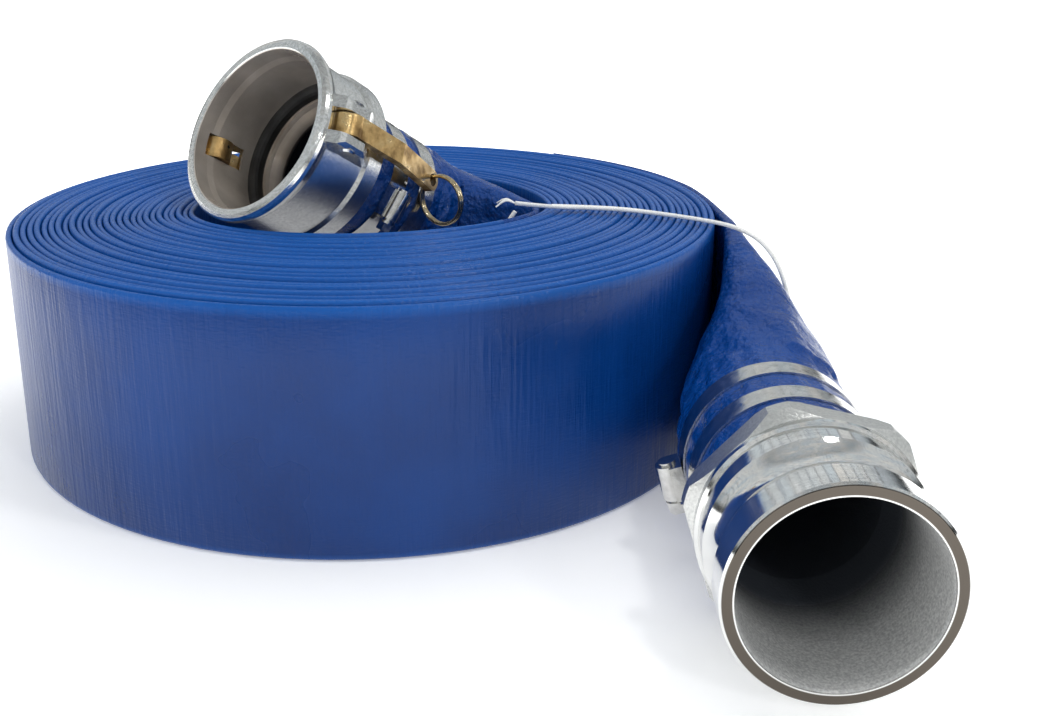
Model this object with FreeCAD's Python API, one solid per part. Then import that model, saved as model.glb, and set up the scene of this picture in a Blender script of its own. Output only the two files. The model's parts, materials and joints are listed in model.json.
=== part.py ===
import FreeCAD, Part
import math
import os
from FreeCAD import Matrix, Vector

# A rolled three-inch lay-flat discharge hose with a cam-and-groove coupling on its two ends.
# The lever coupler (female half) lies on the roll, the plain adapter (male half) on the floor.
# Millimetres, +Z up. Drawn with the roll's middle at X 0, Y 0 and written with the origin on the
# floor under the middle of the whole object.

# ---------------------------------------------------------------- driving dimensions
FLAT_WIDTH = 124.0        # width of the hose when flat, and so the roll's height
HOSE_OUTER_R = 40.9       # round hose where it is pushed over a shank
HOSE_INNER_R = 38.3
ROLL_HALF_X = 200.0       # outside of the roll, a near circle
ROLL_HALF_Y = 197.0
CORE_HALF_LONG = 98.0     # hole in the middle of the roll, longer than it is wide
CORE_HALF_FRONT = 66.0
CORE_HALF_BACK = 98.0
CORE_TURN = 12.0          # degrees, long direction of the hole from +X
SKIN_GAP = 0.3            # free space between soft neighbours

NOSE_R = 45.65            # cam-and-groove size three: outside of the male nose
NOSE_BORE_R = 39.6
SOCKET_R = 46.1           # bore of the lever coupler
MOUTH_R = 46.9            # lead-in land at the mouth of the coupler
SHANK_R = 37.4            # hose shank between its barbs
BARB_R = 38.2
SHANK_BORE_R = 34.0

ADAPTER_MOUTH = Vector(217.0, -297.0, 50.4)
ADAPTER_YAW = 3.5         # degrees from -Y towards +X
COUPLER_MOUTH = Vector(-58.0, -33.0, 172.8)
COUPLER_YAW = -39.0       # degrees from -Y towards +X, so towards -X
COUPLER_LIFT = 31.0       # degrees, mouth up
LEVER_LEAN = 15.0         # degrees, line through both levers from level

MIDDLE = Vector(32.02, -51.36, 0.0)    # middle of the whole object's box
REACH = [(0, 0), (0, 0), (0, 0)]     # the box itself, filled in as pieces are written

BAND_THICK = 0.9
BAND_WIDTH = 13.0
WORM_R = 4.0
WORM_CLEARANCE = 0.05
PIN_R = 3.0
PIN_CLEARANCE = 0.06
PIN_HEAD_R = 4.2

os.makedirs("parts", exist_ok=True)


def save(name, shape):
    moved = shape.copy()
    moved.translate(MIDDLE * -1.0)
    moved.exportStep("parts/" + name + ".step")
    box = moved.optimalBoundingBox(False, False)
    for k, (low, high) in enumerate(((box.XMin, box.XMax), (box.YMin, box.YMax), (box.ZMin, box.ZMax))):
        REACH[k] = (min(low, REACH[k][0]), max(high, REACH[k][1]))
    print(f"{name:28s} solids {len(shape.Solids)} valid {shape.isValid()} volume {shape.Volume:12.1f}"
          f" z {box.ZMin:8.2f} to {box.ZMax:8.2f}")


def frame_from(origin, z_axis, x_axis):
    """The matrix that takes a piece drawn about its own Z axis to its place."""
    z_axis = Vector(z_axis).normalize()
    x_axis = Vector(x_axis) - z_axis * z_axis.dot(Vector(x_axis))
    x_axis.normalize()
    y_axis = z_axis.cross(x_axis)
    return Matrix(x_axis.x, y_axis.x, z_axis.x, origin.x,
                  x_axis.y, y_axis.y, z_axis.y, origin.y,
                  x_axis.z, y_axis.z, z_axis.z, origin.z,
                  0, 0, 0, 1)


def placed(shape, matrix):
    moved = shape.copy()
    moved.Placement = FreeCAD.Placement(matrix).multiply(shape.Placement)
    return moved


def turned(profile):
    """A solid of revolution about Z from (radius, height) corners."""
    points = [Vector(r, 0, z) for r, z in profile]
    face = Part.Face(Part.makePolygon(points + points[:1]))
    return face.revolve(Vector(0, 0, 0), Vector(0, 0, 1), 360)


def cylinder(radius, height, base, direction):
    return Part.makeCylinder(radius, height, base, direction)


def block(size_x, size_y, size_z, centre):
    corner = centre - Vector(size_x, size_y, size_z) * 0.5
    return Part.makeBox(size_x, size_y, size_z, corner)


def spun(shape, degrees):
    """The shape turned about its own Z axis."""
    copy = shape.copy()
    copy.rotate(Vector(0, 0, 0), Vector(0, 0, 1), degrees)
    return copy


def level_direction(yaw, lift):
    """Unit vector of a coupling's axis, out of its mouth."""
    yaw = math.radians(yaw)
    lift = math.radians(lift)
    return Vector(math.sin(yaw) * math.cos(lift), -math.cos(yaw) * math.cos(lift), math.sin(lift))


# Each half of the coupling is drawn with its mouth at Z 0 and its hose shank towards -Z.
ADAPTER_AXIS = level_direction(ADAPTER_YAW, 0.0)
ADAPTER_FRAME = frame_from(ADAPTER_MOUTH, ADAPTER_AXIS, Vector(1, 0, 0))
COUPLER_AXIS = level_direction(COUPLER_YAW, COUPLER_LIFT)
COUPLER_SIDE = COUPLER_AXIS.cross(Vector(0, 0, 1)).normalize() * -1.0
COUPLER_UP = COUPLER_AXIS.cross(COUPLER_SIDE).normalize()
if COUPLER_UP.z < 0:
    COUPLER_UP = COUPLER_UP * -1.0
LEAN = math.radians(LEVER_LEAN)
LEVER_OUT = COUPLER_SIDE * math.cos(LEAN) + COUPLER_UP * math.sin(LEAN)
COUPLER_FRAME = frame_from(COUPLER_MOUTH, COUPLER_AXIS, LEVER_OUT)

# ---------------------------------------------------------------- hose shanks
BARB_PITCH = 9.0


def shank_profile(start, end):
    """Outside of a hose shank as (radius, depth) corners, a row of shallow barbs."""
    corners = [(SHANK_R, start)]
    depth = start + 4.0
    while depth + BARB_PITCH < end:
        corners += [(SHANK_R, depth), (BARB_R, depth + 1.0), (SHANK_R, depth + BARB_PITCH)]
        depth += BARB_PITCH
    corners += [(SHANK_R, end - 2.0), (SHANK_R - 1.0, end)]
    return [(r, -s) for r, s in corners]


# ---------------------------------------------------------------- adapter (male half)
NOSE_END = 16.0
GROOVE_END = 39.0
GROOVE_DEPTH = 4.3
SHOULDER_END = 50.0
STEP_R = 47.0
HEX_START = 54.0
HEX_END = 66.0
HEX_FLAT_R = 46.4
HEX_CORNER_R = 51.2
HEX_TURN = 46.8           # degrees, a corner from the adapter's own X axis
ADAPTER_SHANK_END = 140.0


def groove_arc():
    """The cam groove: a round hollow turned in the nose, as (radius, height) corners."""
    middle = (NOSE_END + GROOVE_END) / 2
    half = (GROOVE_END - NOSE_END) / 2
    sweep_r = (half * half + GROOVE_DEPTH * GROOVE_DEPTH) / (2 * GROOVE_DEPTH)
    return middle, sweep_r


def make_adapter():
    chamfer = 1.2
    outside = [(NOSE_BORE_R + 0.6, 0.0), (NOSE_R - chamfer, 0.0), (NOSE_R, -chamfer),
               (NOSE_R, -SHOULDER_END), (STEP_R, -SHOULDER_END - 1.0), (STEP_R, -HEX_START - 1.0),
               (44.0, -HEX_END + 1.0), (SHANK_R, -HEX_END - 2.0)]
    outside += shank_profile(HEX_END + 4.0, ADAPTER_SHANK_END)
    inside = [(SHANK_BORE_R, -ADAPTER_SHANK_END), (SHANK_BORE_R, -72.0), (38.4, -58.0),
              (NOSE_BORE_R, -2.0), (NOSE_BORE_R + 0.6, 0.0)]
    body = turned(outside + inside[:-1])
    middle, sweep_r = groove_arc()
    groove = Part.makeTorus(NOSE_R - GROOVE_DEPTH + sweep_r, sweep_r, Vector(0, 0, -middle))
    body = body.cut(groove)
    # hexagon collar with turned corners, for a wrench
    corner_r = HEX_FLAT_R / math.cos(math.pi / 6)
    hexagon = Part.makePolygon([
        Vector(corner_r * math.cos(math.radians(HEX_TURN + 60 * k)),
               corner_r * math.sin(math.radians(HEX_TURN + 60 * k)), -HEX_END)
        for k in range(7)])
    collar = Part.Face(hexagon).extrude(Vector(0, 0, HEX_END - HEX_START))
    bevel = turned([(0, -HEX_END), (HEX_CORNER_R - 2.0, -HEX_END), (HEX_CORNER_R, -HEX_END + 2.0),
                    (HEX_CORNER_R, -HEX_START - 4.0), (STEP_R, -HEX_START + 0.01), (0, -HEX_START + 0.01)])
    collar = collar.common(bevel)
    collar = collar.cut(cylinder(42.0, HEX_END, Vector(0, 0, -HEX_END), Vector(0, 0, 1)))
    return body.fuse(collar).removeSplitter()


# ---------------------------------------------------------------- coupler (female half)
RIM_R = 54.0
RIM_DEPTH = 9.0
BELL_R = 49.6
COLLAR_START = 40.0
COLLAR_R = 51.6
COLLAR_END = 52.0
GASKET_START = 40.5
GASKET_END = 47.0
GASKET_OUT_R = 48.6
GASKET_IN_R = 40.5
PIVOT_R = 55.6            # hinge line of a lever, from the coupler's axis
PIVOT_DEPTH = 19.0
LEVER_WIDTH = 12.0
SLOT_SIDE_GAP = 0.6
LUG_THICK = 7.0
LUG_TOP = 60.5
COUPLER_SHANK_END = 118.0
LUG_HALF_GAP = LEVER_WIDTH / 2 + SLOT_SIDE_GAP


def make_rim():
    """The rolled lip round the mouth."""
    return turned([(MOUTH_R + 0.8, 0.0), (RIM_R - 3.6, 0.0), (RIM_R - 1.5, -0.8), (RIM_R - 0.3, -2.4),
                   (RIM_R, -4.4), (RIM_R - 0.6, -6.6), (RIM_R - 2.2, -RIM_DEPTH), (BELL_R - 0.4, -RIM_DEPTH - 3.0),
                   (MOUTH_R, -RIM_DEPTH - 3.0), (MOUTH_R, -0.8)])


def make_bell():
    outside = [(BELL_R, -2.0), (BELL_R, -COLLAR_START + 1.0), (COLLAR_R, -COLLAR_START - 0.6),
               (COLLAR_R, -COLLAR_END + 1.6), (COLLAR_R - 1.6, -COLLAR_END), (43.0, -COLLAR_END - 1.0),
               (SHANK_R, -COLLAR_END - 4.0)]
    outside += shank_profile(COLLAR_END + 6.0, COUPLER_SHANK_END)
    inside = [(SHANK_BORE_R, -COUPLER_SHANK_END), (SHANK_BORE_R, -56.0), (37.6, -49.6),
              (GASKET_IN_R + 1.0, -49.6), (GASKET_IN_R + 1.0, -GASKET_END), (GASKET_OUT_R, -GASKET_END),
              (GASKET_OUT_R, -GASKET_START), (SOCKET_R, -GASKET_START), (SOCKET_R, -13.8),
              (MOUTH_R, -9.8), (MOUTH_R, -2.0)]
    return turned(outside + inside)


def make_coupler():
    body = make_bell().fuse(make_rim())
    hollow = turned([(0, 1.0), (MOUTH_R + 1.8, 1.0), (MOUTH_R, -0.8), (MOUTH_R, -9.8), (SOCKET_R, -13.8),
                     (SOCKET_R, -GASKET_START), (0, -GASKET_START)])
    lug_length = COLLAR_START - 2.0
    for side in (0, 180):
        for hand in (-1, 1):
            inner = hand * LUG_HALF_GAP
            outer = hand * (LUG_HALF_GAP + LUG_THICK)
            outline = [(40.0, -4.0), (RIM_R - 0.5, -4.0), (LUG_TOP - 1.5, -9.0), (LUG_TOP, -12.0), (LUG_TOP, -26.0),
                       (LUG_TOP - 2.0, -29.0), (COLLAR_R, -lug_length), (40.0, -lug_length)]
            points = [Vector(r, inner, z) for r, z in outline]
            lug = Part.Face(Part.makePolygon(points + points[:1])).extrude(Vector(0, outer - inner, 0))
            edge = Part.makePolygon([Vector(LUG_TOP + 1, outer, 0), Vector(LUG_TOP - 2.2, outer, 0),
                                     Vector(LUG_TOP + 1, outer - hand * 3.2, 0), Vector(LUG_TOP + 1, outer, 0)])
            lug = lug.cut(Part.Face(edge).extrude(Vector(0, 0, -lug_length)))
            body = body.fuse(spun(lug, side))
    body = body.cut(hollow)
    for side in (0, 180):
        window = block(24.0, 2 * LUG_HALF_GAP, 26.0, Vector(52.0, 0, -PIVOT_DEPTH - 2.0))
        room = block(20.0, 2 * LUG_HALF_GAP, 44.0, Vector(BELL_R + 10.6, 0, -31.5))
        pin_hole = cylinder(PIN_R, 60.0, Vector(PIVOT_R, -30.0, -PIVOT_DEPTH), Vector(0, 1, 0))
        for tool in (window, room, pin_hole):
            body = body.cut(spun(tool, side))
    return body


def make_gasket():
    return turned([(GASKET_IN_R, -GASKET_END), (GASKET_OUT_R, -GASKET_END), (GASKET_OUT_R, -GASKET_START),
                   (GASKET_IN_R + 3.0, -GASKET_START), (GASKET_IN_R + 0.8, -GASKET_START - 0.8),
                   (GASKET_IN_R, -GASKET_START - 2.4)])


# ---------------------------------------------------------------- levers, pins and pull rings
CAM_R = 9.0
CAM_REACH = 3.8           # how far the cam's middle stands inward of the hinge line
LEVER_THICK = 5.0
LEVER_KNEE = 55.0         # depth where the lever bends in towards the hose
LEVER_END = 97.0
LEVER_BEND = 13.0         # degrees
ARM_RISE = 3.4            # middle of the arm outside the hinge line
EYE_R = 3.6
RING_WIRE_R = 1.0
RING_R = 14.0             # middle of the wire to the ring's centre


def lever_tip():
    run = LEVER_END - LEVER_KNEE
    return Vector(PIVOT_R + ARM_RISE - run * math.tan(math.radians(LEVER_BEND)), 0, -LEVER_END)


def make_lever():
    """A cast cam lever: eccentric head, straight arm, and a bent tip with an eye for its ring."""
    half = LEVER_WIDTH / 2
    side = Vector(0, LEVER_WIDTH, 0)
    pivot = Vector(PIVOT_R, -half, -PIVOT_DEPTH)
    head = cylinder(CAM_R, LEVER_WIDTH, pivot + Vector(-CAM_REACH, 0, 0), Vector(0, 1, 0))
    hub = cylinder(6.2, LEVER_WIDTH, pivot, Vector(0, 1, 0))
    tip = lever_tip()
    lean = math.radians(LEVER_BEND)
    top = Vector(LEVER_THICK / 2, 0, 0)
    slant = Vector(LEVER_THICK / 2 * math.cos(lean), 0, -LEVER_THICK / 2 * math.sin(lean))
    root = Vector(PIVOT_R + ARM_RISE, -half, -PIVOT_DEPTH)
    knee = Vector(PIVOT_R + ARM_RISE, -half, -LEVER_KNEE)
    end = Vector(tip.x, -half, tip.z)
    outline = [root - top, knee - top, end - slant, end + slant, knee + top, root + top]
    arm = Part.Face(Part.makePolygon(outline + outline[:1])).extrude(side)
    lever = head.fuse([hub, arm])
    # the tip is rounded in plan, and bored for the ring
    rounder = cylinder(half, 30.0, Vector(tip.x - 15.0, 0, tip.z + half), Vector(1, 0, 0))
    corner = block(30.0, LEVER_WIDTH + 1.0, half + 4.0, Vector(tip.x, 0, tip.z + half / 2 - 2.0)).cut(rounder)
    lever = lever.cut(corner)
    lever = lever.cut(cylinder(EYE_R, 30.0, Vector(tip.x - 15.0, 0, tip.z + half), Vector(1, 0, 0)))
    lever = lever.cut(cylinder(PIN_R + PIN_CLEARANCE, LEVER_WIDTH, pivot, Vector(0, 1, 0)))
    return lever.removeSplitter()


def make_pin():
    """A pin pressed through both lugs, with a low round head on each side."""
    reach = LUG_HALF_GAP + LUG_THICK
    pin = cylinder(PIN_R, 2 * reach, Vector(PIVOT_R, -reach, -PIVOT_DEPTH), Vector(0, 1, 0))
    for hand in (-1, 1):
        head = Part.makeCone(PIN_HEAD_R, PIN_HEAD_R - 0.8, 1.2, Vector(PIVOT_R, hand * reach, -PIVOT_DEPTH),
                             Vector(0, hand, 0))
        pin = pin.fuse(head)
    return pin.removeSplitter()


RING_DROP = 31.0          # degrees, how far the hanging ring leans away from the hose


def make_ring(side):
    """A split ring of two close turns, hanging from the eye of the lever on the given side."""
    eye = lever_tip() + Vector(0, 0, LEVER_WIDTH / 2)
    down = COUPLER_FRAME.inverse().multVec(Vector(0, 0, -1)) - COUPLER_FRAME.inverse().multVec(Vector(0, 0, 0))
    down = Vector(0, side * down.y, down.z).normalize()
    drop = math.radians(RING_DROP)
    centre = eye + down * (RING_R * math.cos(drop)) + Vector(RING_R * math.sin(drop), 0, 0)
    axis = Vector(1, 0, 0).cross(down)
    turns = [Part.makeTorus(RING_R, RING_WIRE_R, centre + axis * (k * 0.9 * RING_WIRE_R), axis) for k in (-1, 1)]
    return turns[0].fuse(turns[1])


# ---------------------------------------------------------------- worm-drive band clamps
BAND_IN_R = HOSE_OUTER_R + 0.1
BAND_OUT_R = BAND_IN_R + BAND_THICK
WORM_AXIS_R = BAND_OUT_R + 5.9
HOUSING_HALF = 8.5
WORM_HALF = 10.0
HEAD_FLAT = 8.0
# (name, coupling frame, depth behind the mouth, turn about the axis in degrees, side of the head)
CLAMPS = [
    ("adapter_front_clamp", ADAPTER_FRAME, 96.0, -35.0, 1),
    ("adapter_rear_clamp", ADAPTER_FRAME, 125.0, 196.0, 1),
    ("coupler_front_clamp", COUPLER_FRAME, 76.0, -26.0, -1),
    ("coupler_rear_clamp", COUPLER_FRAME, 100.0, 128.0, -1),
]


def make_band(depth):
    half = BAND_WIDTH / 2
    band = turned([(BAND_IN_R, -depth - half), (BAND_OUT_R, -depth - half),
                   (BAND_OUT_R, -depth + half), (BAND_IN_R, -depth + half)])
    return band


def make_housing(depth):
    """The saddle that holds the worm over the band."""
    base_height = WORM_AXIS_R - BAND_OUT_R
    base = block(base_height, 2 * HOUSING_HALF, BAND_WIDTH + 1.6,
                 Vector(BAND_OUT_R + base_height / 2, 0, -depth))
    arch = cylinder(5.6, 2 * HOUSING_HALF, Vector(WORM_AXIS_R, -HOUSING_HALF, -depth), Vector(0, 1, 0))
    shell = base.fuse(arch)
    seat = cylinder(BAND_OUT_R, BAND_WIDTH + 6.0, Vector(0, 0, -depth - BAND_WIDTH / 2 - 3.0), Vector(0, 0, 1))
    bore = cylinder(WORM_R + WORM_CLEARANCE, 60.0, Vector(WORM_AXIS_R, -30.0, -depth), Vector(0, 1, 0))
    return shell.cut(seat).cut(bore)


def make_screw(depth, head_side):
    """The worm: a shank with ring-cut threads and a slotted hexagon head with a flange."""
    axis = Vector(0, head_side, 0)
    start = Vector(WORM_AXIS_R, -head_side * WORM_HALF, -depth)
    worm = cylinder(WORM_R, 2 * WORM_HALF, start, axis)
    pitch = 2.5
    for k in range(1, 8):
        middle = start + axis * (k * pitch)
        outer = cylinder(WORM_R + 1.0, 1.0, middle, axis)
        inner = cylinder(WORM_R - 0.8, 1.0, middle, axis)
        worm = worm.cut(outer.cut(inner))
    flange = cylinder(WORM_R + 1.0, 1.2, start + axis * (2 * WORM_HALF), axis)
    corner_r = HEAD_FLAT / 2 / math.cos(math.pi / 6)
    hexagon = Part.makePolygon([
        Vector(WORM_AXIS_R + corner_r * math.cos(math.radians(60 * k)), head_side * (WORM_HALF + 1.0),
               -depth + corner_r * math.sin(math.radians(60 * k)))
        for k in range(7)])
    head = Part.Face(hexagon).extrude(axis * 5.0)
    slot = block(12.0, 2.4, 1.2, Vector(WORM_AXIS_R, head_side * (WORM_HALF + 6.0), -depth))
    return worm.fuse([flange, head]).cut(slot).removeSplitter()


# ---------------------------------------------------------------- the hose
def core_outline(grow):
    """The hole in the roll as two half ellipses that meet at its long ends."""
    long_r = CORE_HALF_LONG + grow
    halves = []
    for half_width, start in ((CORE_HALF_BACK + grow, 0), (CORE_HALF_FRONT + grow, math.pi)):
        ellipse = Part.Ellipse(Vector(0, 0, 0), long_r, min(half_width, long_r - 0.01))
        halves.append(ellipse.toShape(start, start + math.pi))
    wire = Part.Wire(halves)
    return spun(wire, CORE_TURN)


def make_roll():
    """The wound turns as one ring of hose, open in the middle."""
    outer = Part.Wire(Part.Ellipse(Vector(0, 0, 0), ROLL_HALF_X, ROLL_HALF_Y).toShape())
    ring = Part.Face(outer).extrude(Vector(0, 0, FLAT_WIDTH))
    core = Part.Face(core_outline(0.0)).extrude(Vector(0, 0, FLAT_WIDTH))
    return ring.cut(core)


LEAD_FACETS = 8           # flats in each rounded edge of a lead


def slot_wire(centre, up, across, half_height, half_thick):
    """A flattened ring with faceted round ends: the section of a hose between round and flat."""
    up = Vector(up).normalize()
    across = (Vector(across) - up * up.dot(Vector(across))).normalize()
    straight = half_height - half_thick
    points = []
    for end in (1, -1):
        for k in range(LEAD_FACETS + 1):
            turn = math.pi * k / LEAD_FACETS
            points.append(centre + up * (end * (straight + half_thick * math.sin(turn)))
                          + across * (end * half_thick * math.cos(turn)))
    return Part.makePolygon(points + points[:1])


def lead_solid(sections, frame, start, end):
    """A stretch of hose from its round end on a shank to its flat end at the roll."""
    lofted = Part.makeLoft([slot_wire(*section) for section in sections], True, True)
    sleeve = turned([(HOSE_INNER_R, -end), (HOSE_OUTER_R, -end), (HOSE_OUTER_R, -start), (HOSE_INNER_R, -start)])
    return placed(sleeve, frame).fuse(lofted)


def make_outer_lead():
    end = ADAPTER_SHANK_END + 2.0
    first = ADAPTER_MOUTH - ADAPTER_AXIS * end
    up = Vector(0, 0, 1)
    across = Vector(1, 0, 0)
    sections = [(first, up, up.cross(ADAPTER_AXIS), HOSE_OUTER_R + 0.2, HOSE_OUTER_R - 0.5),
                (Vector(209.0, -118.0, 52.0), up, across, 46.0, 33.0),
                (Vector(210.0, -75.0, 57.4), up, across, 53.4, 17.0),
                (Vector(206.5, -35.0, 60.5), up, across, 59.5, 6.0),
                (Vector(202.8, 10.0, 62.0), up, across, 61.8, 2.2)]
    return lead_solid(sections, ADAPTER_FRAME, 71.0, end)


def make_inner_lead():
    end = COUPLER_SHANK_END + 2.0
    first = COUPLER_MOUTH - COUPLER_AXIS * end
    sections = [(first, COUPLER_UP, COUPLER_SIDE, HOSE_OUTER_R + 0.2, HOSE_OUTER_R - 0.5),
                (Vector(31.0, 52.0, 89.0), Vector(0.16, 0.1, 0.96), Vector(0.45, -0.9, 0), 48.0, 25.0),
                (Vector(60.0, 36.0, 74.0), Vector(0.05, 0.05, 1), Vector(-0.35, -0.94, 0), 54.0, 12.0),
                (Vector(86.0, 12.0, 62.2), Vector(0, 0, 1), Vector(-0.8, -0.6, 0), 61.5, 2.6)]
    return lead_solid(sections, COUPLER_FRAME, 56.0, end)


# ---------------------------------------------------------------- tie string
STRING_R = 1.2
STRING_ROUTE = [
    Vector(84, -21, 130), Vector(104, -13, 126.0), Vector(134, -12, 125.8), Vector(162, -22, 125.8),
    Vector(186, -36, 125.8), Vector(203, -50, 125.8), Vector(217, -63, 120.5), Vector(227, -71, 104),
    Vector(234, -74, 70), Vector(234, -75, 32), Vector(226, -75, 4), Vector(208, -71, 1.3), Vector(190, -65, 1.4),
    Vector(160, -62, 1.6), Vector(125, -50, 1.3), Vector(94, -40, 1.6), Vector(77, -32, 4.0),
    Vector(70.5, -27, 20), Vector(70, -24.5, 50), Vector(71.5, -25.5, 82), Vector(74, -24.5, 112),
    Vector(84, -23.5, 125.9)]


def rounded_path(points):
    """Straight runs joined by tangent arcs, each as large as its two runs allow."""
    edges = []
    radii = []
    last = points[0]
    for before, corner, after in zip(points, points[1:], points[2:]):
        to_before = before - corner
        to_after = after - corner
        shorter = min(to_before.Length, to_after.Length)
        to_before.normalize()
        to_after.normalize()
        turn = math.pi - to_before.getAngle(to_after)
        cut_back = 0.45 * shorter
        radii.append(round(cut_back / math.tan(turn / 2), 1))
        enter = corner + to_before * cut_back
        leave = corner + to_after * cut_back
        bisector = (to_before + to_after).normalize()
        radius = cut_back / math.tan(turn / 2)
        middle = corner + bisector * (math.hypot(radius, cut_back) - radius)
        edges.append(Part.LineSegment(last, enter).toShape())
        edges.append(Part.Arc(enter, middle, leave).toShape())
        last = leave
    edges.append(Part.LineSegment(last, points[-1]).toShape())
    return Part.Wire(edges), radii


def string_tube(radius):
    path, radii = rounded_path(STRING_ROUTE)
    start = path.Edges[0]
    circle = Part.Wire(Part.makeCircle(radius, start.valueAt(start.FirstParameter),
                                       start.tangentAt(start.FirstParameter)))
    tube = path.makePipeShell([circle], True, True)
    return tube, path, radii


# ---------------------------------------------------------------- write every piece
roll = make_roll()
string, string_path, string_radii = string_tube(STRING_R)
groove, _, _ = string_tube(STRING_R + SKIN_GAP)
print("string length", round(string_path.Length, 1), "radii", string_radii,
      "volume", round(string.Volume, 1), "expected", round(math.pi * STRING_R ** 2 * string_path.Length, 1))

save("adapter_body", placed(make_adapter(), ADAPTER_FRAME))
save("coupler_body", placed(make_coupler(), COUPLER_FRAME))
save("coupler_gasket", placed(make_gasket(), COUPLER_FRAME))
for label, angle, hand in (("front", 0, 1), ("back", 180, -1)):
    save(label + "_cam_lever", placed(spun(make_lever(), angle), COUPLER_FRAME))
    save(label + "_pivot_pin", placed(spun(make_pin(), angle), COUPLER_FRAME))
    save(label + "_pull_ring", placed(spun(make_ring(hand), angle), COUPLER_FRAME))
for name, frame, depth, angle, head_side in CLAMPS:
    save(name + "_band", placed(spun(make_band(depth), angle), frame))
    save(name + "_housing", placed(spun(make_housing(depth), angle), frame))
    save(name + "_screw", placed(spun(make_screw(depth, head_side), angle), frame))
save("hose_roll", roll.cut(groove))
save("outer_lead", make_outer_lead())
save("inner_lead", make_inner_lead())
save("tie_string", string)
print("whole object", [(round(low, 3), round(high, 3)) for low, high in REACH])
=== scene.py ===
import bpy
import json
import math
import numpy as np
from mathutils import Matrix, Vector, noise


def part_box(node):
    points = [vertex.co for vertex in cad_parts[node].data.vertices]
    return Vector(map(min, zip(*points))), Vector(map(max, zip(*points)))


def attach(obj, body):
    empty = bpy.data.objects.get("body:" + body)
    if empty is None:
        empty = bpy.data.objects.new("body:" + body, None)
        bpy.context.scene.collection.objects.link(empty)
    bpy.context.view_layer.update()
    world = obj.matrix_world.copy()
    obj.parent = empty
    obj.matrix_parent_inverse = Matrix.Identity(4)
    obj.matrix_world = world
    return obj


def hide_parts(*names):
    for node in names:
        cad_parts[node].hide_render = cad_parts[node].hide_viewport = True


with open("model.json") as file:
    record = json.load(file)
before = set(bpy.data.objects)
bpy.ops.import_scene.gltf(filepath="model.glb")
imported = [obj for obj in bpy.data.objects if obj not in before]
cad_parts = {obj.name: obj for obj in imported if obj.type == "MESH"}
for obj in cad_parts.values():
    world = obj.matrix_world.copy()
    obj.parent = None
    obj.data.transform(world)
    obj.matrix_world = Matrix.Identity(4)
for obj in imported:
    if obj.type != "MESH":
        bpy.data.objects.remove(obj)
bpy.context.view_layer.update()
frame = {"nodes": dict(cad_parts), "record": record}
nodes = frame["nodes"]
mounts = {m["name"]: m for m in frame["record"]["mounts"]}

# ---------------------------------------------------------------- camera
# A standing person's view over the roll, with the adapter's mouth nearest.
camera = bpy.data.objects.new("camera", bpy.data.cameras.new("camera"))
bpy.context.collection.objects.link(camera)
camera.data.lens = 42.9
camera.data.shift_y = -0.06
camera.data.clip_start = 0.02
look = Matrix.Rotation(0.046, 4, "Z") @ Matrix.Rotation(math.radians(90 - 17.25), 4, "X")
camera.matrix_world = Matrix.Translation((0.0855, -0.6428, 0.2853)) @ look @ Matrix.Rotation(0.005, 4, "Z")
bpy.context.scene.camera = camera

# ---------------------------------------------------------------- floor, lights and surroundings
# A pale studio sweep with large soft boxes. Polished metal needs dark stretches between the
# bright ones, so the surroundings are banded and paned, and plain white where the camera looks.
SURROUNDINGS = ((0.0, 0.9), (0.45, 0.8), (0.49, 0.12), (0.53, 0.14), (0.57, 0.7),
                (0.66, 1.0), (0.86, 1.0), (0.92, 0.6), (1.0, 0.85))       # height, brightness
world = bpy.data.worlds.new("studio")
bpy.context.scene.world = world
world.use_nodes = True
tree = world.node_tree
tree.nodes.clear()
out = tree.nodes.new("ShaderNodeOutputWorld")
seen = tree.nodes.new("ShaderNodeBackground")
seen.inputs["Color"].default_value = (1, 1, 1, 1)
seen.inputs["Strength"].default_value = 1.0
around = tree.nodes.new("ShaderNodeBackground")
around.inputs["Strength"].default_value = 0.95
sky = tree.nodes.new("ShaderNodeTexCoord")
split = tree.nodes.new("ShaderNodeSeparateXYZ")
bands = tree.nodes.new("ShaderNodeValToRGB")
for k, (place, shade) in enumerate(SURROUNDINGS):
    stop = bands.color_ramp.elements[k] if k < 2 else bands.color_ramp.elements.new(place)
    stop.position = place
    stop.color = (shade, shade, shade * 1.02, 1)
panes = tree.nodes.new("ShaderNodeTexBrick")
panes.inputs["Scale"].default_value = 7.0
panes.inputs["Mortar Size"].default_value = 0.03
panes.inputs["Color1"].default_value = (1.0, 0.97, 0.90, 1)
panes.inputs["Color2"].default_value = (0.62, 0.74, 0.82, 1)
panes.inputs["Mortar"].default_value = (0.03, 0.03, 0.04, 1)
paned = tree.nodes.new("ShaderNodeMix")
paned.data_type = "RGBA"
paned.blend_type = "MULTIPLY"
paned.inputs[0].default_value = 0.9
half = tree.nodes.new("ShaderNodeMath")
half.operation = "MULTIPLY_ADD"
half.inputs[1].default_value = 0.5
half.inputs[2].default_value = 0.5
path_kind = tree.nodes.new("ShaderNodeLightPath")
choose = tree.nodes.new("ShaderNodeMixShader")
tree.links.new(sky.outputs["Generated"], split.inputs[0])
tree.links.new(split.outputs["Z"], half.inputs[0])
tree.links.new(half.outputs[0], bands.inputs["Fac"])
tree.links.new(sky.outputs["Generated"], panes.inputs["Vector"])
tree.links.new(bands.outputs["Color"], paned.inputs[6])
tree.links.new(panes.outputs["Color"], paned.inputs[7])
tree.links.new(paned.outputs[2], around.inputs["Color"])
tree.links.new(path_kind.outputs["Is Camera Ray"], choose.inputs["Fac"])
tree.links.new(around.outputs[0], choose.inputs[1])
tree.links.new(seen.outputs[0], choose.inputs[2])
tree.links.new(choose.outputs[0], out.inputs["Surface"])

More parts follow.
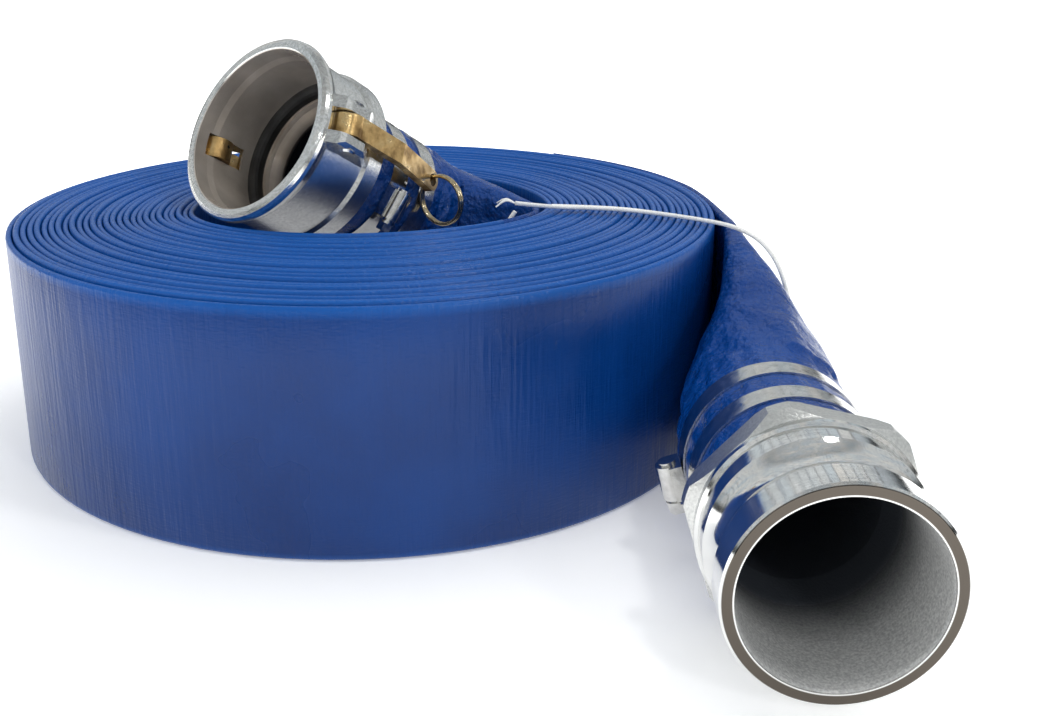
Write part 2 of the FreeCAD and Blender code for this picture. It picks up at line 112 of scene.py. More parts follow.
floor_mesh = bpy.data.meshes.new("floor")
floor_mesh.from_pydata([(-30, -30, 0), (30, -30, 0), (30, 30, 0), (-30, 30, 0)], [], [(0, 1, 2, 3)])
floor = bpy.data.objects.new("floor", floor_mesh)
bpy.context.collection.objects.link(floor)
floor.location.z = -0.0004
floor_paint = bpy.data.materials.new("pale floor")
floor_paint.use_nodes = True
tree = floor_paint.node_tree
shader = tree.nodes["Principled BSDF"]
shader.inputs["Base Color"].default_value = (0.93, 0.93, 0.93, 1)
shader.inputs["Roughness"].default_value = 0.85
shader.inputs["Emission Strength"].default_value = 1.0
# painted glow: the floor emits light, faintly near the object, where it lightens the shadows, and the
# sweep brightens to plain white away from the object
spread = tree.nodes.new("ShaderNodeTexCoord")
reach = tree.nodes.new("ShaderNodeVectorMath")
reach.operation = "LENGTH"
fade = tree.nodes.new("ShaderNodeValToRGB")
fade.color_ramp.elements[0].position = 0.25
fade.color_ramp.elements[0].color = (0.24, 0.24, 0.24, 1)
fade.color_ramp.elements[1].position = 0.62
fade.color_ramp.elements[1].color = (1, 1, 1, 1)
tree.links.new(spread.outputs["Object"], reach.inputs[0])
tree.links.new(reach.outputs["Value"], fade.inputs["Fac"])
tree.links.new(fade.outputs["Color"], shader.inputs["Emission Color"])
floor_mesh.materials.append(floor_paint)


def soft_box(name, place, target, width, height, power, mirrored=False):
    """A rectangular studio light aimed at a point, seen in gloss only if mirrored."""
    lamp = bpy.data.objects.new(name, bpy.data.lights.new(name, "AREA"))
    lamp.data.shape = "RECTANGLE"
    lamp.data.size = width
    lamp.data.size_y = height
    lamp.data.energy = power
    lamp.location = place
    lamp.rotation_euler = (Vector(target) - Vector(place)).to_track_quat("-Z", "Y").to_euler()
    lamp.visible_glossy = mirrored
    bpy.context.collection.objects.link(lamp)


soft_box("overhead", (0.1, 0.25, 1.5), (0, 0, 0.1), 1.5, 1.2, 9)
soft_box("left box", (-1.4, -0.9, 1.1), (0, 0, 0.1), 0.9, 0.9, 7)
soft_box("right window", (1.1, -1.5, 0.9), (0.05, -0.05, 0.08), 0.16, 0.42, 5, True)
soft_box("back box", (0.7, 1.3, 0.7), (0.1, 0, 0.1), 1.2, 0.7, 6)
soft_box("small lamp", (0.55, -0.35, 1.3), (0.1, 0, 0.1), 0.14, 0.14, 2.5, True)

# ---------------------------------------------------------------- places taken from the frame
# The roll's middle, and each coupling's mouth and axis, out of its mouth.
roll_low, roll_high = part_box("hose_roll")
ROLL_X = (roll_high.x - roll_low.x) / 2
ROLL_Y = (roll_high.y - roll_low.y) / 2
ROLL_MIDDLE = Vector(((roll_high.x + roll_low.x) / 2, (roll_high.y + roll_low.y) / 2, 0))
FLAT_WIDTH = 0.124                       # of the hose when flat, and so the roll's height
UP = Vector((0, 0, 1))
NOSE_TO_MOUTH = 0.0085                   # from each mount's place out to the rim
LAND_TO_MOUTH = 0.0053
adapter_axis = Vector(mounts["adapter_nose"]["axis"]).normalized()
adapter_mouth = Vector(mounts["adapter_nose"]["pos_m"]) + NOSE_TO_MOUTH * adapter_axis
coupler_axis = Vector(mounts["coupler_socket"]["axis"]).normalized()
coupler_mouth = Vector(mounts["coupler_socket"]["pos_m"]) + LAND_TO_MOUTH * coupler_axis


def at(x, y, z):
    """A point given in metres from the roll's middle on the floor."""
    return ROLL_MIDDLE + Vector((x, y, z))


# ---------------------------------------------------------------- tie string
# Off-white cotton string round one side of the roll, doubled on top and knotted over the core
# with frayed ends. It is pulled tight, so it lies along the hose all the way.
STRING_WIDTH = 0.0024
FIBRE_R = 0.00045
STRAND_APART = 0.0034                    # the second strand's start beside the first
STRAND_CLOSING = 0.0012                  # how much nearer it comes at each point
STRING_ROUTE = [
    (0.084, -0.021, 0.130), (0.104, -0.013, 0.126), (0.134, -0.012, 0.1258), (0.162, -0.022, 0.1258),
    (0.186, -0.036, 0.1258), (0.203, -0.050, 0.1258), (0.217, -0.063, 0.1205), (0.227, -0.071, 0.104),
    (0.234, -0.074, 0.070), (0.234, -0.075, 0.032), (0.226, -0.075, 0.004), (0.208, -0.071, 0.0013),
    (0.190, -0.065, 0.0014), (0.160, -0.062, 0.0016), (0.125, -0.050, 0.0013), (0.094, -0.040, 0.0016),
    (0.077, -0.032, 0.004), (0.0705, -0.027, 0.020), (0.070, -0.0245, 0.050), (0.0715, -0.0255, 0.082),
    (0.074, -0.0245, 0.112), (0.084, -0.0235, 0.1259)]


def smooth_curve(name, points, radius):
    """A round cord on one smooth spline through its route."""
    curve = bpy.data.curves.new(name, "CURVE")
    curve.dimensions = "3D"
    spline = curve.splines.new("NURBS")
    spline.points.add(len(points) - 1)
    for point, place in zip(spline.points, points):
        point.co = (*place, 1)
    spline.order_u = 3
    spline.use_endpoint_u = True
    spline.resolution_u = 12
    curve.bevel_depth = radius
    curve.bevel_resolution = 4
    curve.use_fill_caps = True
    piece = bpy.data.objects.new(name, curve)
    bpy.context.collection.objects.link(piece)
    return piece


def start_material(name, rough, metallic=0.0):
    """A new material and its shader, with the constants set on the shader's own sockets."""
    material = bpy.data.materials.new(name)
    material.use_nodes = True
    shader = material.node_tree.nodes["Principled BSDF"]
    shader.inputs["Roughness"].default_value = rough
    shader.inputs["Metallic"].default_value = metallic
    return material, material.node_tree, shader


def colour_ramp(tree, source, stops):
    """Colours spread over a value, as (place, colour) stops."""
    ramp = tree.nodes.new("ShaderNodeValToRGB")
    for k, (place, colour) in enumerate(stops):
        stop = ramp.color_ramp.elements[k] if k < 2 else ramp.color_ramp.elements.new(place)
        stop.position = place
        stop.color = (*colour, 1)
    tree.links.new(source, ramp.inputs["Fac"])
    return ramp.outputs["Color"]


def grey_ramp(tree, source, stops):
    return colour_ramp(tree, source, [(place, (grey, grey, grey)) for place, grey in stops])


def noise_field(tree, coordinates, scale, detail=4.0, stretch=(1, 1, 1)):
    """Uneven values over the surface, drawn out along an axis by a small stretch number."""
    mapping = tree.nodes.new("ShaderNodeMapping")
    mapping.inputs["Scale"].default_value = stretch
    field = tree.nodes.new("ShaderNodeTexNoise")
    field.inputs["Scale"].default_value = scale
    field.inputs["Detail"].default_value = detail
    tree.links.new(coordinates, mapping.inputs["Vector"])
    tree.links.new(mapping.outputs[0], field.inputs["Vector"])
    return field.outputs["Fac"]


def calculate(tree, operation, first, second=None, third=None):
    """One step of arithmetic on sockets or plain numbers."""
    node = tree.nodes.new("ShaderNodeMath")
    node.operation = operation
    for k, value in enumerate((first, second, third)):
        if value is None:
            continue
        if isinstance(value, (int, float)):
            node.inputs[k].default_value = value
        else:
            tree.links.new(value, node.inputs[k])
    return node.outputs[0]


def blend_colours(tree, amount, first, second):
    """Mixes two colours, each a socket or plain numbers."""
    mix = tree.nodes.new("ShaderNodeMix")
    mix.data_type = "RGBA"
    tree.links.new(amount, mix.inputs[0])
    for k, value in ((6, first), (7, second)):
        if isinstance(value, tuple):
            mix.inputs[k].default_value = (*value, 1)
        else:
            tree.links.new(value, mix.inputs[k])
    return mix.outputs[2]


def raise_surface(tree, shader, height, distance, strength=1.0):
    """Small relief, as the height in metres over a value's range."""
    bump = tree.nodes.new("ShaderNodeBump")
    bump.inputs["Distance"].default_value = distance
    bump.inputs["Strength"].default_value = strength
    tree.links.new(height, bump.inputs["Height"])
    tree.links.new(bump.outputs["Normal"], shader.inputs["Normal"])


def object_place(tree):
    return tree.nodes.new("ShaderNodeTexCoord").outputs["Object"]


string_cotton, tree, shader = start_material("woven cotton", 0.85)
place = object_place(tree)
fibres = noise_field(tree, place, 1400, 3)
tree.links.new(colour_ramp(tree, fibres, [(0.3, (0.72, 0.72, 0.70)), (0.7, (0.96, 0.96, 0.93))]),
               shader.inputs["Base Color"])
raise_surface(tree, shader, fibres, 0.0004)

string = smooth_curve("tie_string_cord", [at(*p) for p in STRING_ROUTE], STRING_WIDTH / 2)
string.data.materials.append(string_cotton)
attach(string, "hose_assembly")
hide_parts("tie_string")
for k, bend in enumerate((-1.0, -0.5, 0.0, 0.45, 0.9)):
    tail = smooth_curve(f"tie_string_fibre_{k}", [
        at(0.0835, -0.0215, 0.130),
        at(0.080, -0.0205 + 0.0015 * bend, 0.1318 + 0.0007 * (k % 2)),
        at(0.0765, -0.020 + 0.004 * bend, 0.1312),
        at(0.0735 + 0.001 * (k % 3), -0.020 + 0.007 * bend, 0.1290)], FIBRE_R)
    tail.data.materials.append(string_cotton)
    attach(tail, "hose_assembly")
second = smooth_curve("tie_string_second_strand", [
    at(x, y + STRAND_APART - STRAND_CLOSING * k, z)
    for k, (x, y, z) in enumerate(STRING_ROUTE[1:5])], STRING_WIDTH / 2)
second.data.materials.append(string_cotton)
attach(second, "hose_assembly")

# ---------------------------------------------------------------- hose: the wound roll
# Coated woven hose, flat as it comes, wound on itself. Every turn is two walls with a folded edge
# at top and bottom, and a thin dark gap to the next turn.
TURNS = 28.02
CORE_LONG = 0.098                        # the hole's half lengths, along it and to front and back
CORE_FRONT = 0.066
CORE_BACK = 0.098
CORE_TURN = math.radians(12)
TURN_AHEAD = 0.002                       # how far ahead a section looks for its heading
WALL_PAIR = 0.44                         # half of the two walls, as a share of the winding pitch


def core_reach(angle):
    """Distance from the roll's middle to the edge of its hole."""
    turned = angle - CORE_TURN
    side = CORE_BACK if math.sin(turned) > 0 else CORE_FRONT
    return CORE_LONG * side / math.hypot(side * math.cos(turned), CORE_LONG * math.sin(turned))


def roll_reach(angle):
    """Distance from the roll's middle to its outside."""
    return ROLL_X * ROLL_Y / math.hypot(ROLL_Y * math.cos(angle), ROLL_X * math.sin(angle))


def winding(turn):
    """Middle line of the wound hose, and half its thickness, after so many turns from the core."""
    angle = CORE_TURN - 2 * math.pi * turn
    pitch = (roll_reach(angle) - core_reach(angle)) / (TURNS + 1)
    reach = core_reach(angle) + pitch * (turn + 0.5)
    return at(reach * math.cos(angle), reach * math.sin(angle), FLAT_WIDTH / 2), pitch * WALL_PAIR


def winding_section(turn):
    """The same, with the level direction square to the hose there."""
    middle, half_thick = winding(turn)
    ahead, _ = winding(turn + TURN_AHEAD)
    return middle, half_thick, (ahead - middle).normalized().cross(UP)


def slot_outline(half_height, half_thick, count):
    """Points (across, up) round a flattened ring, evenly spaced, anticlockwise from one side."""
    straight = half_height - half_thick
    around = 4 * straight + 2 * math.pi * half_thick
    points = []
    for k in range(count):
        d = around * k / count
        if d < straight:
            points.append((half_thick, d))
            continue
        d -= straight
        if d < math.pi * half_thick:
            turn = d / half_thick
            points.append((half_thick * math.cos(turn), straight + half_thick * math.sin(turn)))
            continue
        d -= math.pi * half_thick
        if d < 2 * straight:
            points.append((-half_thick, straight - d))
            continue
        d -= 2 * straight
        if d < math.pi * half_thick:
            turn = math.pi + d / half_thick
            points.append((half_thick * math.cos(turn), -straight + half_thick * math.sin(turn)))
            continue
        d -= math.pi * half_thick
        points.append((half_thick, -straight + d))
    return points


def skin(name, rings):
    """A closed tube through rings of points."""
    count = len(rings[0])
    points = [tuple(p) for ring in rings for p in ring]
    faces = []
    for i in range(len(rings) - 1):
        for j in range(count):
            k = (j + 1) % count
            faces.append((i * count + j, i * count + k, (i + 1) * count + k, (i + 1) * count + j))
    faces.append(tuple(reversed(range(count))))
    faces.append(tuple(range((len(rings) - 1) * count, len(rings) * count)))
    mesh = bpy.data.meshes.new(name)
    mesh.from_pydata(points, [], faces)
    mesh.polygons.foreach_set("use_smooth", [True] * len(mesh.polygons))
    piece = bpy.data.objects.new(name, mesh)
    bpy.context.collection.objects.link(piece)
    return piece


ROLL_STEPS = 116                         # sections in a turn
FIRST_TURN = 0.10
LAST_TURN = TURNS - 0.14
EDGE_POINTS = 5                          # round each folded edge
EDGE_DROP = 0.0006                       # the edges stay this far below the full flat width
FLOOR_GAP = 0.0003


def wall_section(half_height, half_thick):
    """A flat hose in section: two plain walls and two folded edges."""
    points = []
    for end in (1, -1):
        for k in range(EDGE_POINTS):
            turn = math.pi * k / (EDGE_POINTS - 1)
            points.append((end * half_thick * math.cos(turn),
                           end * (half_height - half_thick + half_thick * math.sin(turn))))
        for share in (1 / 3, -1 / 3):
            points.append((-end * half_thick, end * share * (half_height - half_thick)))
    return points


rings = []
steps = int((LAST_TURN - FIRST_TURN) * ROLL_STEPS)
for i in range(steps + 1):
    turn = FIRST_TURN + (LAST_TURN - FIRST_TURN) * i / steps
    middle, half_thick, across = winding_section(turn)
    uneven = noise.noise(Vector((turn * 2.1, 3.7, 0))) * 0.0009
    lean = noise.noise(Vector((turn * 3.3, 9.1, 0))) * 0.0005
    crest = 0.0006 * math.cos(turn * 2.4) + uneven
    half_height = FLAT_WIDTH / 2 - EDGE_DROP + 0.5 * crest
    lift = half_height + FLOOR_GAP - FLAT_WIDTH / 2
    rings.append([middle + across * (x + lean * max(z, 0) / half_height) + UP * (z + lift)
                  for x, z in wall_section(half_height, half_thick)])
hose_coil = skin("hose_wound_turns", rings)

hose_blue, tree, shader = start_material("coated blue hose", 0.3)
place = object_place(tree)
split = tree.nodes.new("ShaderNodeSeparateXYZ")
tree.links.new(place, split.inputs[0])
blotches = noise_field(tree, place, 14, 3)
streaks = noise_field(tree, place, 420, 4, (1, 1, 0.06))
weave = noise_field(tree, place, 900, 2, (0.25, 0.25, 1))
creases = noise_field(tree, place, 70, 5, (1, 1, 0.25))
body_blue = colour_ramp(tree, blotches, [(0.3, (0.0004, 0.028, 0.150)),
                                         (0.7, (0.0006, 0.043, 0.215))])
# painted highlight: the folded edges at top and bottom are painted a lighter blue, where they catch the
# light
painted_top_highlight = grey_ramp(tree, calculate(tree, "MULTIPLY_ADD", streaks, 0.0016, split.outputs["Z"]),
                   [(0.118, 0.0), (0.1225, 1.0)])
painted_low_highlight = grey_ramp(tree, split.outputs["Z"], [(0.0, 0.8), (0.0035, 0.0)])
edges = calculate(tree, "MAXIMUM", painted_top_highlight, painted_low_highlight)
edge_highlight_amount = calculate(tree, "MULTIPLY", edges, 0.75)
tree.links.new(blend_colours(tree, edge_highlight_amount, body_blue, (0.004, 0.105, 0.42)),
               shader.inputs["Base Color"])
tree.links.new(grey_ramp(tree, blotches, [(0.25, 0.24), (0.75, 0.36)]), shader.inputs["Roughness"])
fine = calculate(tree, "MULTIPLY_ADD", weave, 0.35, streaks)
height = calculate(tree, "MULTIPLY_ADD", creases, 1.6, fine)
raise_surface(tree, shader, height, 0.0009, 0.6)
shader.inputs["Coat Weight"].default_value = 0.05
shader.inputs["Coat Roughness"].default_value = 0.15
shader.inputs["Specular IOR Level"].default_value = 0.3
hose_coil.data.materials.append(hose_blue)
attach(hose_coil, "hose_assembly")
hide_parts("hose_roll")

# ---------------------------------------------------------------- hose: its two ends
# The same hose where it leaves the roll and opens from flat to round to go over a shank. It
# keeps its girth, so it creases and puckers on the way and bulges beside the clamps.
HOSE_R = 0.0409                          # round hose pushed over a shank
HOSE_INSIDE_R = 0.0385
WALL = 0.0020
AROUND = 96                              # points in a section
END_SPACING = 0.0016                     # between sections
BAND_HALF = 0.0072                       # half a clamp band, with a little bare hose beside it
PUCKER_REACH = 0.055                     # how fast the folds die away from the clamps


def along_keys(keys, spacing):
    """Evenly spaced sections on smooth lines through keys of (middle, up, across, height, thick)."""
    rows = np.array([[*middle, *up, *across, tall, thick]
                     for middle, up, across, tall, thick in keys])
    out_rows = []
    padded = np.vstack([2 * rows[0] - rows[1], rows, 2 * rows[-1] - rows[-2]])
    for i in range(1, len(rows)):
        before, start, end, after = padded[i - 1:i + 3]
        run = np.linalg.norm(end[:3] - start[:3])
        first = (end - before) * run / (np.linalg.norm((end - before)[:3]) + 1e-9)
        last = (after - start) * run / (np.linalg.norm((after - start)[:3]) + 1e-9)
        count = max(1, int(round(run / spacing)))
        for k in range(count + (i == len(rows) - 1)):
            t = k / count
            out_rows.append((2 * t ** 3 - 3 * t ** 2 + 1) * start + (t ** 3 - 2 * t ** 2 + t) * first
                            + (3 * t ** 2 - 2 * t ** 3) * end + (t ** 3 - t ** 2) * last)
    return np.array(out_rows)


def hose_end(name, keys, mouth, axis, start, bands, seed, pucker):
    """Outer skin from the roll to the shank, the cut end, and the inner skin back inside."""
    rings = []
    insides = []
    for row in along_keys(keys, END_SPACING):
        middle = Vector(row[0:3])
        up = Vector(row[3:6]).normalized()
        across = Vector(row[6:9])
        across = (across - up * up.dot(across)).normalized()
        tall = row[9]
        thick = min(row[10], tall - 0.0001)
        depth = (mouth - middle).dot(axis)
        off_axis = (middle - (mouth - axis * depth)).length
        on_shank = off_axis < 0.0008 and thick > 0.036
        nearest = min(abs(depth - b) for b in bands)
        beyond = max(0.0, depth - max(bands) - 0.0065)
        openness = min(1.0, max(0.0, (thick - 0.004) / 0.03))
        ring = []
        for k, (x, z) in enumerate(slot_outline(tall, thick, AROUND)):
            share = k / AROUND
            outward = across * x + up * max(-thick, min(thick, z)) if thick > 0.001 else across * x
            outward = outward.normalized() if outward.length > 1e-6 else across
            point = middle + across * x + up * z
            swell = 0.0
            if on_shank:
                if nearest > BAND_HALF:
                    ease = min(1.0, (nearest - BAND_HALF) / 0.004)
                    bulge = noise.noise(Vector((share * 14, depth * 90, seed)))
                    ripple = math.sin(2 * math.pi * 23 * share + 4 * noise.noise(point * 20))
                    swell = ease * (0.0004 + 0.0006 * bulge)
                    swell += ease * 0.00045 * ripple
            else:
                fade = math.exp(-beyond / PUCKER_REACH)
                wander = noise.noise(point * 14 + Vector((seed, 0, 0)))
                folds = math.sin(2 * math.pi * 11 * share + 5 * wander)
                swell = pucker * openness * fade * min(1.0, beyond / 0.008) * 0.0011 * folds
                swell += pucker * openness * 0.0026 * noise.noise(point * 26 + Vector((0, seed, 0)))
                swell += pucker * openness * 0.0013 * noise.noise(point * 60 + Vector((seed, 3, 0)))
                ridge = 1 - abs(noise.noise(point * 17 + Vector((seed, 7, 1)))) * 6
                swell += pucker * openness * 0.0012 * max(0.0, ridge)
            ring.append(point + outward * swell)
        rings.append(ring)
        hollow = slot_outline(max(tall - WALL, 0.002), max(thick - WALL, 0.0003), AROUND)
        insides.append((depth, thick, [middle + across * x + up * z for x, z in hollow]))
    side = keys[-1][2].normalized()
    rise = keys[-1][1].normalized()

    def cut_ring(radius, depth, wave):
        """A ring at the cut end, a little uneven along the axis."""
        made = []
        for k in range(AROUND):
            turn = 2 * math.pi * k / AROUND
            shift = wave * (math.sin(3 * turn + seed) + 0.6 * math.sin(7 * turn + 2 * seed))
            made.append(mouth - axis * (depth + shift) + side * (radius * math.cos(turn))
                        + rise * (radius * math.sin(turn)))
        return made

    rings.append(cut_ring(HOSE_R + 0.0002, start + 0.0009, 0.0005))
    rings.append(cut_ring(HOSE_R - 0.0004, start, 0.0006))
    rings.append(cut_ring(HOSE_INSIDE_R + 0.0003, start, 0.0006))
    rings.append(cut_ring(HOSE_INSIDE_R, start + 0.0012, 0.0006))
    shank_rows = [r for d, thick, r in reversed(insides) if d > start + 0.073 and thick > 0.012]
    rings.append(cut_ring(HOSE_INSIDE_R, start + 0.060, 0.0))
    rings += shank_rows[::2]
    return skin(name, rings)


def round_keys(mouth, axis, up, side, depths):
    """Key sections on a shank; the first is a shade flatter, where the hose begins to open."""
    first = (mouth - axis * depths[0], up, side, HOSE_R + 0.0001, HOSE_R - 0.0002)
    return [first] + [(mouth - axis * depth, up, side, HOSE_R, HOSE_R - 0.0001)
                      for depth in depths[1:]]


# the outer end: round the last part of a turn, off the roll at its right side, to the adapter
adapter_side = UP.cross(adapter_axis).normalized()
keys = []
for turn in (TURNS - 0.15, TURNS - 0.12, TURNS - 0.09, TURNS - 0.06, TURNS - 0.03):
    middle, half_thick, outward = winding_section(turn)
    outward = outward if outward.dot(middle - ROLL_MIDDLE) > 0 else outward * -1
    keys.append((middle - UP * FLOOR_GAP, UP, outward, FLAT_WIDTH / 2 - EDGE_DROP, half_thick))
keys += [(at(0.2022, -0.018, 0.0620), UP, Vector((1, 0.02, 0)), 0.0612, 0.0028),
         (at(0.2052, -0.045, 0.0606), UP, Vector((1, 0, 0)), 0.0584, 0.0075),
         (at(0.2098, -0.078, 0.0570), UP, Vector((1, 0, 0)), 0.0530, 0.0180),
         (at(0.2095, -0.115, 0.0523), UP, Vector((1, 0.03, 0)), 0.0462, 0.0325)]
keys += round_keys(adapter_mouth, adapter_axis, UP, adapter_side, (0.144, 0.132, 0.100, 0.0735))
outer_end = hose_end("hose_outer_end", keys, adapter_mouth, adapter_axis,
                     start=0.0715, bands=(0.096, 0.125), seed=2.0, pucker=1.0)

# the inner end: up out of the core and into the coupler's shank
coupler_side = coupler_axis.cross(UP).normalized() * -1
coupler_up = coupler_axis.cross(coupler_side).normalized()
coupler_up = coupler_up if coupler_up.z > 0 else coupler_up * -1
keys = []
for turn in (FIRST_TURN + 0.01, FIRST_TURN - 0.02, FIRST_TURN - 0.05):
    middle, half_thick, across = winding_section(turn)
    keys.append((middle, UP, across, FLAT_WIDTH / 2 - 0.0004, half_thick))
keys += [(at(0.0935, 0.0045, 0.0622), UP, Vector((-0.93, -0.36, 0)), 0.0616, 0.0024),
         (at(0.0830, 0.0190, 0.0640), Vector((0.01, 0.01, 1)), Vector((-0.72, -0.69, 0)), 0.0606, 0.0052),
         (at(0.0690, 0.0300, 0.0700), Vector((0.03, 0.03, 1)), Vector((-0.5, -0.86, 0)), 0.0575, 0.0092),
         (at(0.0530, 0.0390, 0.0780), Vector((0.06, 0.06, 1)), Vector((-0.2, -0.97, 0)), 0.0530, 0.0150),
         (at(0.0320, 0.0500, 0.0890), Vector((0.16, 0.1, 0.96)), Vector((0.45, -0.9, 0)), 0.0480, 0.0260)]
keys += round_keys(coupler_mouth, coupler_axis, coupler_up, coupler_side, (0.120, 0.108, 0.080, 0.0585))
inner_end = hose_end("hose_inner_end", keys, coupler_mouth, coupler_axis,
                     start=0.0565, bands=(0.076, 0.100), seed=5.0, pucker=0.9)

hose_creased, tree, shader = start_material("creased blue hose", 0.24)
place = object_place(tree)
blotches = noise_field(tree, place, 16, 3)
streaks = noise_field(tree, place, 300, 5)
creases = noise_field(tree, place, 85, 7)
tree.links.new(colour_ramp(tree, blotches, [(0.3, (0.0003, 0.036, 0.20)),
                                            (0.7, (0.0005, 0.060, 0.30))]),
               shader.inputs["Base Color"])
tree.links.new(grey_ramp(tree, creases, [(0.3, 0.2), (0.7, 0.32)]), shader.inputs["Roughness"])
raise_surface(tree, shader, calculate(tree, "MULTIPLY_ADD", creases, 3.4, streaks), 0.0026, 0.9)
shader.inputs["Coat Weight"].default_value = 0.18
shader.inputs["Coat Roughness"].default_value = 0.08
shader.inputs["Specular IOR Level"].default_value = 0.3
for piece, node in ((outer_end, "outer_lead"), (inner_end, "inner_lead")):
    piece.data.materials.append(hose_creased)
    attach(piece, "hose_assembly")
    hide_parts(node)

# ---------------------------------------------------------------- turned metal
# Both couplings are stainless castings, machined on their mating faces. The group below gives a
# point's depth behind a mouth and its distance from the axis, and the fine rings a lathe leaves.


def zone_group():
    """Depth, radius and lathe rings at a place, from a mouth and an axis."""
    group = bpy.data.node_groups.new("turned zones", "ShaderNodeTree")
    face = group.interface
    face.new_socket("Place", in_out="INPUT", socket_type="NodeSocketVector")
    face.new_socket("Mouth", in_out="INPUT", socket_type="NodeSocketVector")
    face.new_socket("Axis", in_out="INPUT", socket_type="NodeSocketVector")
    face.new_socket("Depth", in_out="OUTPUT", socket_type="NodeSocketFloat")
    face.new_socket("Radius", in_out="OUTPUT", socket_type="NodeSocketFloat")
    face.new_socket("Rings", in_out="OUTPUT", socket_type="NodeSocketFloat")
    given = group.nodes.new("NodeGroupInput")
    result = group.nodes.new("NodeGroupOutput")

    def vector_step(operation, first, second):
        node = group.nodes.new("ShaderNodeVectorMath")
        node.operation = operation
        group.links.new(first, node.inputs[0])
        group.links.new(second, node.inputs[1])
        return node

    from_mouth = vector_step("SUBTRACT", given.outputs["Mouth"], given.outputs["Place"])
    depth = vector_step("DOT_PRODUCT", from_mouth.outputs[0], given.outputs["Axis"]).outputs["Value"]
    radius = vector_step("CROSS_PRODUCT", from_mouth.outputs[0], given.outputs["Axis"])
    length = group.nodes.new("ShaderNodeVectorMath")
    length.operation = "LENGTH"
    group.links.new(radius.outputs[0], length.inputs[0])
    pair = group.nodes.new("ShaderNodeCombineXYZ")
    group.links.new(depth, pair.inputs[0])
    group.links.new(length.outputs["Value"], pair.inputs[1])
    rings = group.nodes.new("ShaderNodeTexNoise")
    rings.inputs["Scale"].default_value = 2200
    rings.inputs["Detail"].default_value = 2
    group.links.new(pair.outputs[0], rings.inputs["Vector"])
    group.links.new(depth, result.inputs["Depth"])
    group.links.new(length.outputs["Value"], result.inputs["Radius"])
    group.links.new(rings.outputs["Fac"], result.inputs["Rings"])
    return group


turned_zones = zone_group()


def zones(tree, place, mouth, axis):
    """The group placed in a material, for one coupling."""
    node = tree.nodes.new("ShaderNodeGroup")
    node.node_tree = turned_zones
    node.inputs["Mouth"].default_value = mouth
    node.inputs["Axis"].default_value = axis
    tree.links.new(place, node.inputs["Place"])
    return node.outputs["Depth"], node.outputs["Radius"], node.outputs["Rings"]


def between(tree, value, low, high, soft):
    """1 where the value lies between two limits, 0 elsewhere, with soft edges."""
    sides = []
    for start, end in ((low, value), (value, high)):
        within = calculate(tree, "DIVIDE", calculate(tree, "SUBTRACT", end, start), soft)
        sides.append(calculate(tree, "MAXIMUM", calculate(tree, "SMOOTH_MIN", within, 1.0, 0.1), 0.0))
    return calculate(tree, "MINIMUM", *sides)


def paint(node, material):
    """Puts a material on a CAD node, in place of the one it came with."""
    nodes[node].data.materials.clear()
    nodes[node].data.materials.append(material)


# ---------------------------------------------------------------- plain adapter
# Machined and polished outside, a darker turned face at the mouth, a grey blasted bore with painted
# shade turning it near black further in, and a satin cast hexagon collar.
ADAPTER_BORE_R = 0.0402
ADAPTER_FACE = (0.0406, 0.0449)          # its inner and outer radius
ADAPTER_CAST_FROM = 0.0535               # depth where the machining ends
adapter_steel, tree, shader = start_material("adapter steel", 0.12, 1.0)
place = object_place(tree)
depth, radius, rings_seen = zones(tree, place, adapter_mouth, adapter_axis)
cloudy = noise_field(tree, place, 40, 4)
grain = noise_field(tree, place, 900, 3)
cast_part = between(tree, depth, ADAPTER_CAST_FROM, 0.30, 0.0008)
bore_part = between(tree, radius, -1.0, ADAPTER_BORE_R, 0.0004)
deep_part = between(tree, depth, 0.030, 0.30, 0.030)
grey = colour_ramp(tree, cloudy, [(0.3, (0.74, 0.74, 0.72)), (0.7, (0.86, 0.86, 0.84))])
satin = colour_ramp(tree, grain, [(0.3, (0.62, 0.62, 0.60)), (0.7, (0.82, 0.82, 0.79))])
colour = blend_colours(tree, cast_part, grey, satin)
bore_colour = colour_ramp(tree, grain, [(0.3, (0.42, 0.42, 0.42)), (0.7, (0.72, 0.72, 0.70))])
colour = blend_colours(tree, bore_part, colour, bore_colour)
face_part = calculate(tree, "MULTIPLY", between(tree, depth, -0.01, 0.0007, 0.0003),
                      between(tree, radius, *ADAPTER_FACE, 0.0003))
colour = blend_colours(tree, face_part, colour, (0.11, 0.095, 0.08))
# painted shade: further into the bore the colour goes near black, where shade falls
painted_bore_shade = calculate(tree, "MULTIPLY", bore_part, deep_part)
colour = blend_colours(tree, painted_bore_shade, colour, (0.03, 0.035, 0.045))
tree.links.new(colour, shader.inputs["Base Color"])
tree.links.new(calculate(tree, "MULTIPLY_ADD", bore_part, -0.75, 1.0), shader.inputs["Metallic"])
rough = calculate(tree, "MULTIPLY_ADD", cast_part, 0.26, 0.05)
rough = calculate(tree, "MULTIPLY_ADD", bore_part, 0.42, rough)
rough = calculate(tree, "MULTIPLY_ADD", rings_seen, 0.06, rough)
tree.links.new(rough, shader.inputs["Roughness"])
coarse = calculate(tree, "MAXIMUM", cast_part, bore_part)
relief = calculate(tree, "MULTIPLY_ADD", calculate(tree, "MULTIPLY", coarse, grain), 3.0,
                   calculate(tree, "MULTIPLY", rings_seen, 0.25))
raise_surface(tree, shader, relief, 0.00012, 0.6)
paint("adapter_body", adapter_steel)
